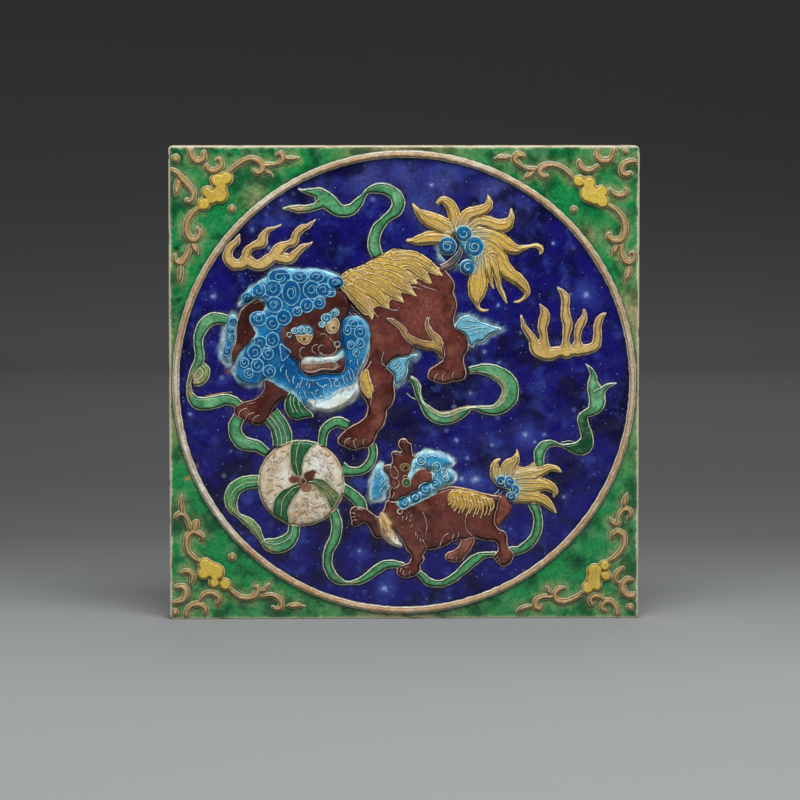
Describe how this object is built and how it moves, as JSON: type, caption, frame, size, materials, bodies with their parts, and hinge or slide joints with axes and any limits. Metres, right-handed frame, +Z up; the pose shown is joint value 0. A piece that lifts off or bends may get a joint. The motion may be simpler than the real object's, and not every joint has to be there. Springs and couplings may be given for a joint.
{
  "type": "glazed floor tile",
  "caption": "Thick square ceramic tile, moulded and colour-glazed on its front: a ringed round medallion of two lions with a ribboned ball and flames, and scrolls in the corners.",
  "frame": {"origin": "middle of the tile's width and of its whole depth, relief included, on the plane of its lower edge", "axes": "+X to the right of the moulded front, +Y out of the plain back, +Z up the tile; the front faces -Y"},
  "size_m": [0.25, 0.0316, 0.252],
  "materials": {
    "glazed_ceramic": "gloss"
  },
  "bodies": {
    "root": {"tile": "glazed_ceramic"}
  },
  "joints": []
}
